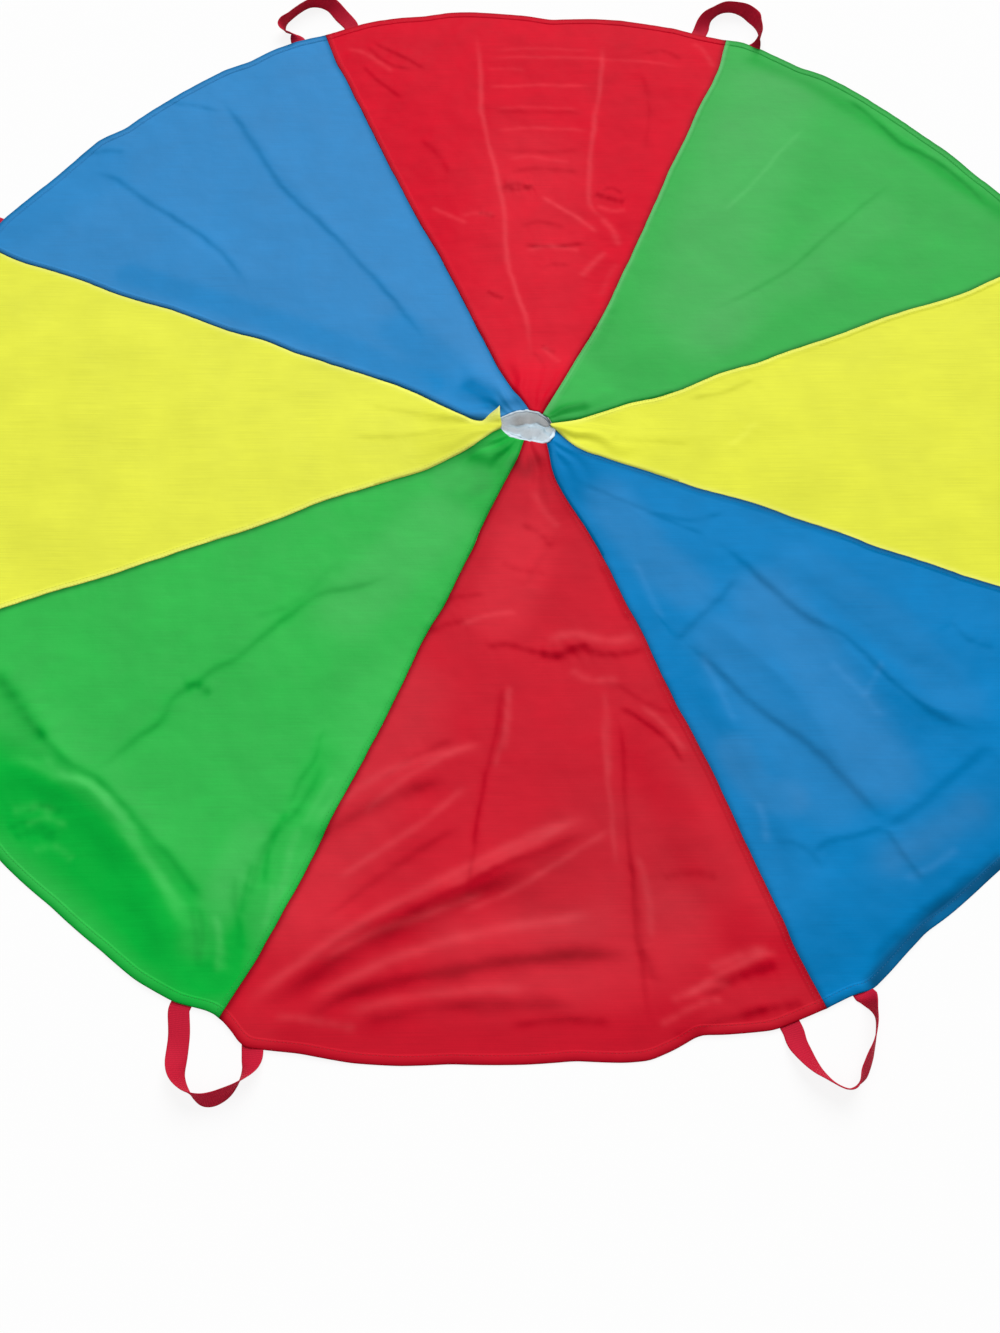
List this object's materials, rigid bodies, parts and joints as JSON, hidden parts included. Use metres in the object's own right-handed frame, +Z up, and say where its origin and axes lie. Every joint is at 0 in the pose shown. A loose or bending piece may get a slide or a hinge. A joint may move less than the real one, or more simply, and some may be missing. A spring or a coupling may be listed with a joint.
{
  "type": "play parachute",
  "caption": "Round cloth play parachute laid out on the floor, with coloured gores round a small net vent and webbing hand loops sewn under its hem.",
  "frame": {"origin": "on the floor, under the middle of the laid canopy's rim", "axes": "+Z up from the floor, +Y towards the back red gore, +X to the right from there"},
  "size_m": [1.837, 1.8501, 0.025],
  "materials": {
    "red_cloth": "plain woven nylon taffeta with a soft sheen",
    "green_cloth": "plain woven nylon taffeta with a soft sheen",
    "yellow_cloth": "plain woven nylon taffeta with a soft sheen",
    "blue_cloth": "plain woven nylon taffeta with a soft sheen",
    "red_webbing": "matt woven webbing",
    "white_binding": "matt woven tape",
    "white_net": "knitted net"
  },
  "bodies": {
    "canopy": {"gore_right_yellow": "yellow_cloth", "gore_back_right_green": "green_cloth", "gore_back_red": "red_cloth", "gore_back_left_blue": "blue_cloth", "gore_left_yellow": "yellow_cloth", "gore_front_left_green": "green_cloth", "gore_front_red": "red_cloth", "gore_front_right_blue": "blue_cloth", "handle_tab_1a": "red_webbing", "handle_tab_1b": "red_webbing", "handle_tab_2a": "red_webbing", "handle_tab_2b": "red_webbing", "handle_tab_3a": "red_webbing", "handle_tab_3b": "red_webbing", "handle_tab_4a": "red_webbing", "handle_tab_4b": "red_webbing", "handle_tab_5a": "red_webbing", "handle_tab_5b": "red_webbing", "handle_tab_6a": "red_webbing", "handle_tab_6b": "red_webbing", "handle_tab_7a": "red_webbing", "handle_tab_7b": "red_webbing", "handle_tab_8a": "red_webbing", "handle_tab_8b": "red_webbing"},
    "crown": {"vent_binding": "white_binding", "vent_net": "white_net"},
    "handle_1": {"handle_loop_1": "red_webbing"},
    "handle_2": {"handle_loop_2": "red_webbing"},
    "handle_3": {"handle_loop_3": "red_webbing"},
    "handle_4": {"handle_loop_4": "red_webbing"},
    "handle_5": {"handle_loop_5": "red_webbing"},
    "handle_6": {"handle_loop_6": "red_webbing"},
    "handle_7": {"handle_loop_7": "red_webbing"},
    "handle_8": {"handle_loop_8": "red_webbing"}
  },
  "joints": [
    {"name": "crown_lift", "type": "slide", "parent": "canopy", "child": "crown", "axis": [0, 0, 1], "range_m": [0, 0.15], "deforming": ["gore_right_yellow", "gore_back_right_green", "gore_back_red", "gore_back_left_blue", "gore_left_yellow", "gore_front_left_green", "gore_front_red", "gore_front_right_blue"]},
    {"name": "handle_1_swing", "type": "hinge", "parent": "canopy", "child": "handle_1", "pos_m": [0.8315, 0.3444, 0.0028], "axis": [0.3827, -0.9239, 0], "range_deg": [0, 165]},
    {"name": "handle_2_swing", "type": "hinge", "parent": "canopy", "child": "handle_2", "pos_m": [0.3589, 0.8254, 0.0028], "axis": [0.9171, -0.3987, 0], "range_deg": [0, 165]},
    {"name": "handle_3_swing", "type": "hinge", "parent": "canopy", "child": "handle_3", "pos_m": [-0.3225, 0.8402, 0.0028], "axis": [0.9336, 0.3584, 0], "range_deg": [0, 165]},
    {"name": "handle_4_swing", "type": "hinge", "parent": "canopy", "child": "handle_4", "pos_m": [-0.8254, 0.3589, 0.0028], "axis": [0.3987, 0.9171, 0], "range_deg": [0, 165]},
    {"name": "handle_5_swing", "type": "hinge", "parent": "canopy", "child": "handle_5", "pos_m": [-0.8254, -0.3589, 0.0028], "axis": [-0.3987, 0.9171, 0], "range_deg": [0, 165]},
    {"name": "handle_6_swing", "type": "hinge", "parent": "canopy", "child": "handle_6", "pos_m": [-0.3479, -0.8398, 0.0028], "axis": [-0.9239, 0.3827, 0], "range_deg": [0, 165]},
    {"name": "handle_7_swing", "type": "hinge", "parent": "canopy", "child": "handle_7", "pos_m": [0.3517, -0.8285, 0.0028], "axis": [-0.9205, -0.3907, 0], "range_deg": [0, 165]},
    {"name": "handle_8_swing", "type": "hinge", "parent": "canopy", "child": "handle_8", "pos_m": [0.8374, -0.3299, 0.0028], "axis": [-0.3665, -0.9304, 0], "range_deg": [0, 165]}
  ]
}
